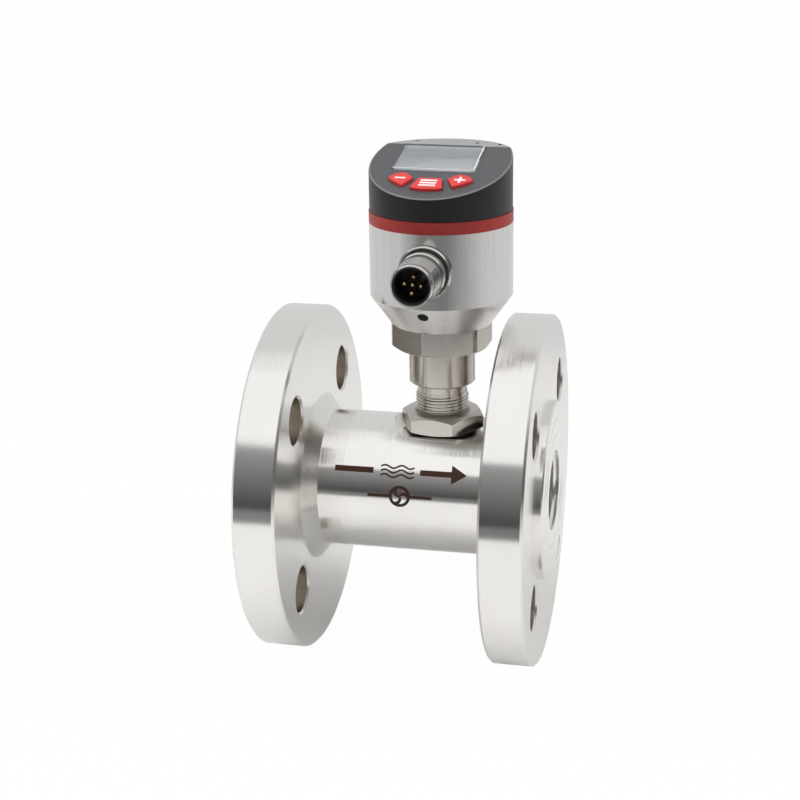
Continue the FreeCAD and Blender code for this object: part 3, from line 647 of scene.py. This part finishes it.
def key_top(node):
    """Places (across, up the slope, height) on a key's top face, counted from that face's middle."""
    right = Vector((math.cos(HEAD_TURN), math.sin(HEAD_TURN), 0))
    out = -Vector(MENU_SLIDE["axis"]).normalized()
    up = out.cross(right)
    points = [v.co for v in frame["nodes"][node].data.vertices]
    top = max(p.dot(out) for p in points)
    face = [p for p in points if p.dot(out) > top - FACE_TOLERANCE]
    across = [p.dot(right) for p in face]
    rise = [p.dot(up) for p in face]
    middle = right * (min(across) + max(across)) / 2 + up * (min(rise) + max(rise)) / 2 + out * top
    return lambda u, v, height: middle + right * u + up * v + out * height


def face_box(node):
    """Half width, half height and a place function of a key's or pane's top face."""
    place = key_top(node)
    middle = place(0, 0, 0)
    right = place(1, 0, 0) - middle
    up = place(0, 1, 0) - middle
    out = place(0, 0, 1) - middle
    points = [v.co - middle for v in frame["nodes"][node].data.vertices]
    face = [p for p in points if p.dot(out) > -FACE_TOLERANCE]
    return max(p.dot(right) for p in face), max(p.dot(up) for p in face), place


def node_body(node):
    bodies = frame["record"]["behaviour"]["bodies"]
    return next(body for body, nodes in bodies.items() if node in nodes)


def glyph(name, node, bars):
    """White bars printed on a key: each is (start, end, half width)."""
    place = key_top(node)
    verts, faces = join([ribbon(line(start, end, 2), [half] * 3, place, 2) for start, end, half in bars])
    piece(name, verts, faces, WHITE_INK, node_body(node))


def key_glyphs():
    side = GLYPH_ARM
    glyph("minus_sign", "key_minus", [((-side, SIDE_GLYPH_UP), (side, SIDE_GLYPH_UP), GLYPH_LINE)])
    glyph("plus_sign", "key_plus", [
        ((-side, SIDE_GLYPH_UP), (side, SIDE_GLYPH_UP), GLYPH_LINE),
        ((0, SIDE_GLYPH_UP - side), (0, SIDE_GLYPH_UP - GLYPH_LINE), GLYPH_LINE),
        ((0, SIDE_GLYPH_UP + GLYPH_LINE), (0, SIDE_GLYPH_UP + side), GLYPH_LINE),
    ])
    rises = [MENU_UP + k * MENU_STEP for k in (-1, 0, 1)]
    glyph("menu_sign", "key_menu", [((-MENU_ARM, v), (MENU_ARM, v), MENU_LINE) for v in rises])


def window_edge_highlight():
    """Pale strip along the display window's near edge and right edge: a painted highlight where the window's
    bevel catches the light on these two sides.
    """
    u, v, place = face_box("display_window")
    sides = [((-u, -v), (u, -v)), ((u, -v), (u, v))]
    verts, faces = join([ribbon(line(start, end, 2), [WINDOW_EDGE] * 3, place, 2) for start, end in sides])
    piece("window_edge_highlight", verts, faces, EDGE_HIGHLIGHT, "display")


key_glyphs()
window_edge_highlight()


# ---- stage, lights and camera -------------------------------------------------------------------
def seen_share(tree, camera_share, reflected_share):
    """How much of a background is plain white, by the kind of ray that sees it."""
    path = tree.nodes.new("ShaderNodeLightPath")
    reflected = compute(tree, "MAXIMUM", path.outputs["Is Glossy Ray"], path.outputs["Is Transmission Ray"])
    return compute(tree, "MAXIMUM", compute(tree, "MULTIPLY", path.outputs["Is Camera Ray"], camera_share),
                   compute(tree, "MULTIPLY", reflected, reflected_share))


def floor():
    """Plain pale paper; it keeps the object's shadow and shows white to the camera."""
    mesh = bpy.data.meshes.new("floor")
    half = FLOOR_HALF
    corners = [(x, y, FLOOR_Z) for x, y in ((-half, -half), (half, -half), (half, half), (-half, half))]
    mesh.from_pydata(corners, [], [(0, 1, 2, 3)])
    made, tree, shader = material("floor_paper", (0.71, 0.70, 0.68), 0.9)
    white = tree.nodes.new("ShaderNodeEmission")
    mix = tree.nodes.new("ShaderNodeMixShader")
    tree.links.new(seen_share(tree, FLOOR_SEEN_WHITE, FLOOR_REFLECTED_WHITE), mix.inputs[0])
    tree.links.new(shader.outputs[0], mix.inputs[1])
    tree.links.new(white.outputs[0], mix.inputs[2])
    tree.links.new(mix.outputs[0], tree.nodes["Material Output"].inputs["Surface"])
    mesh.materials.append(made)
    obj = bpy.data.objects.new("floor", mesh)
    bpy.context.collection.objects.link(obj)


def glow_material(name, stops, value_of, cover_of=None):
    """Emission whose grey follows a value through (place, grey) stops.
    A cover from 0 to 1 can follow the place too."""
    made = bpy.data.materials.new(name)
    made.use_nodes = True
    tree = made.node_tree
    tree.nodes.remove(tree.nodes["Principled BSDF"])
    ramp = tree.nodes.new("ShaderNodeValToRGB")
    elements = ramp.color_ramp.elements
    while len(elements) < len(stops):
        elements.new(0.5)
    for element, (place, grey) in zip(elements, stops):
        element.position = place
        element.color = (grey, grey, grey, 1.0)
    tree.links.new(value_of(tree), ramp.inputs["Fac"])
    glow = tree.nodes.new("ShaderNodeEmission")
    tree.links.new(ramp.outputs["Color"], glow.inputs["Color"])
    surface = glow.outputs[0]
    if cover_of:
        clear = tree.nodes.new("ShaderNodeBsdfTransparent")
        mix = tree.nodes.new("ShaderNodeMixShader")
        tree.links.new(cover_of(tree), mix.inputs[0])
        tree.links.new(clear.outputs[0], mix.inputs[1])
        tree.links.new(surface, mix.inputs[2])
        surface = mix.outputs[0]
    tree.links.new(surface, tree.nodes["Material Output"].inputs["Surface"])
    return made


def card(name, verts, faces, look):
    """A studio card that only shows in the metal's reflections."""
    mesh = bpy.data.meshes.new(name)
    mesh.from_pydata(verts, [], faces)
    mesh.materials.append(look)
    obj = bpy.data.objects.new(name, mesh)
    bpy.context.collection.objects.link(obj)
    obj.visible_camera = False
    obj.visible_diffuse = False
    obj.visible_shadow = False
    obj.visible_transmission = False


def ring_rows(rows, first, last, count):
    """Points on arcs about the head's axis; rows are (radius, height), angles in degrees from -Y to +X."""
    verts = []
    for radius, height in rows:
        for k in range(count + 1):
            angle = math.radians(first + (last - first) * k / count)
            verts.append((HEAD_X + radius * math.sin(angle), -radius * math.cos(angle), height))
    width = count + 1
    faces = [(row * width + k, row * width + k + 1, (row + 1) * width + k + 1, (row + 1) * width + k)
             for row in range(len(rows) - 1) for k in range(count)]
    return verts, faces


def up_the_wall(greys):
    """Colour stops for a wall from (height angle, grey) pairs, and its lowest and highest point."""
    heights = [WALL_R * math.tan(math.radians(angle)) for angle, _ in greys]
    low, high = max(FLOOR_Z, heights[0]), heights[-1]
    stops = [((height - low) / (high - low), grey) for height, (_, grey) in zip(heights, greys)]
    return stops, low, high


def head_azimuth(tree):
    """Turn about the head's axis in radians, 0 on the display's side and positive towards +X."""
    x, y, _ = coordinates(tree)
    return compute(tree, "ARCTAN2", compute(tree, "SUBTRACT", x, HEAD_X),
                   compute(tree, "MULTIPLY", y, -1.0))


def wall_card(name, greys, first, last):
    """Part of the room's wall, between two azimuths."""
    stops, low, high = up_the_wall(greys)
    look = glow_material(name, stops, lambda tree: ramp_between(tree, coordinates(tree)[2], low, high))
    verts, faces = ring_rows([(WALL_R, low), (WALL_R, high)], first, last, RING_STEPS)
    card(name, verts, faces, look)


def round_cloth():
    """Cloth round the floor, dark in front of the object and light at its sides."""
    stops = [((angle + 180) / 360, grey) for angle, grey in CLOTH_GREYS]
    look = glow_material("round_cloth", stops,
                         lambda tree: ramp_between(tree, head_azimuth(tree), -math.pi, math.pi),
                         lambda tree: ramp_between(tree, about_head(tree)[1], *CLOTH_EDGE))
    height = FLOOR_Z + CLOTH_LIFT
    verts, faces = ring_rows([(CLOTH_EDGE[0], height), (WALL_R, height)], -180, 180, RING_STEPS)
    card("round_cloth", verts, faces, look)


def world():
    made = bpy.data.worlds.new("studio")
    bpy.context.scene.world = made
    made.use_nodes = True
    tree = made.node_tree
    soft = tree.nodes["Background"]
    soft.inputs["Color"].default_value = (0.95, 0.97, 1.0, 1.0)
    soft.inputs["Strength"].default_value = WORLD_LIGHT
    white = tree.nodes.new("ShaderNodeBackground")
    white.inputs["Color"].default_value = (1.0, 1.0, 1.0, 1.0)
    mix = tree.nodes.new("ShaderNodeMixShader")
    tree.links.new(seen_share(tree, 1.0, 1.0), mix.inputs[0])
    tree.links.new(soft.outputs[0], mix.inputs[1])
    tree.links.new(white.outputs[0], mix.inputs[2])
    tree.links.new(mix.outputs[0], tree.nodes["World Output"].inputs["Surface"])


def softbox(name, azimuth, elevation, distance, size, power):
    """A square area light aimed at the middle of the object; azimuth 0 is the display's side."""
    data = bpy.data.lights.new(name, "AREA")
    data.shape = "SQUARE"
    data.size = size
    data.energy = power
    obj = bpy.data.objects.new(name, data)
    bpy.context.collection.objects.link(obj)
    a, e = math.radians(azimuth), math.radians(elevation)
    back = Vector((math.sin(a) * math.cos(e), -math.cos(a) * math.cos(e), math.sin(e)))
    obj.visible_glossy = False
    obj.location = CAMERA_TARGET + back * distance
    obj.rotation_euler = back.to_track_quat("Z", "Y").to_euler()


def camera():
    a, e = CAMERA_AZIMUTH, CAMERA_ELEVATION
    back = Vector((math.sin(a) * math.cos(e), -math.cos(a) * math.cos(e), math.sin(e)))
    level = Vector((math.cos(a), math.sin(a), 0.0))
    upward = back.cross(level)
    right = level * math.cos(CAMERA_ROLL) + upward * math.sin(CAMERA_ROLL)
    upward = back.cross(right)
    data = bpy.data.cameras.new("camera")
    data.lens = CAMERA_LENS
    data.sensor_width = CAMERA_SENSOR
    data.clip_start = 0.01
    obj = bpy.data.objects.new("camera", data)
    bpy.context.collection.objects.link(obj)
    turn = Matrix((right, upward, back)).transposed().to_4x4()
    obj.matrix_world = Matrix.Translation(CAMERA_TARGET + back * CAMERA_DISTANCE) @ turn
    bpy.context.scene.camera = obj


floor()
wall_card("front_wall", WALL_GREYS, -WALL_SIDE, WALL_SIDE)
wall_card("light_panel", LIGHT_PANEL_GREYS, -WALL_SIDE, WALL_SIDE)
wall_card("back_wall", BACK_GREYS, WALL_SIDE, 360 - WALL_SIDE)
round_cloth()
world()
softbox("key_light", -72, 35, 1.0, 0.6, 6.8)
softbox("top_light", 10, 80, 0.9, 0.8, 4.0)
softbox("fill_light", 88, 30, 1.1, 0.7, 6.4)
camera()
bpy.context.scene.view_settings.view_transform = "Standard"
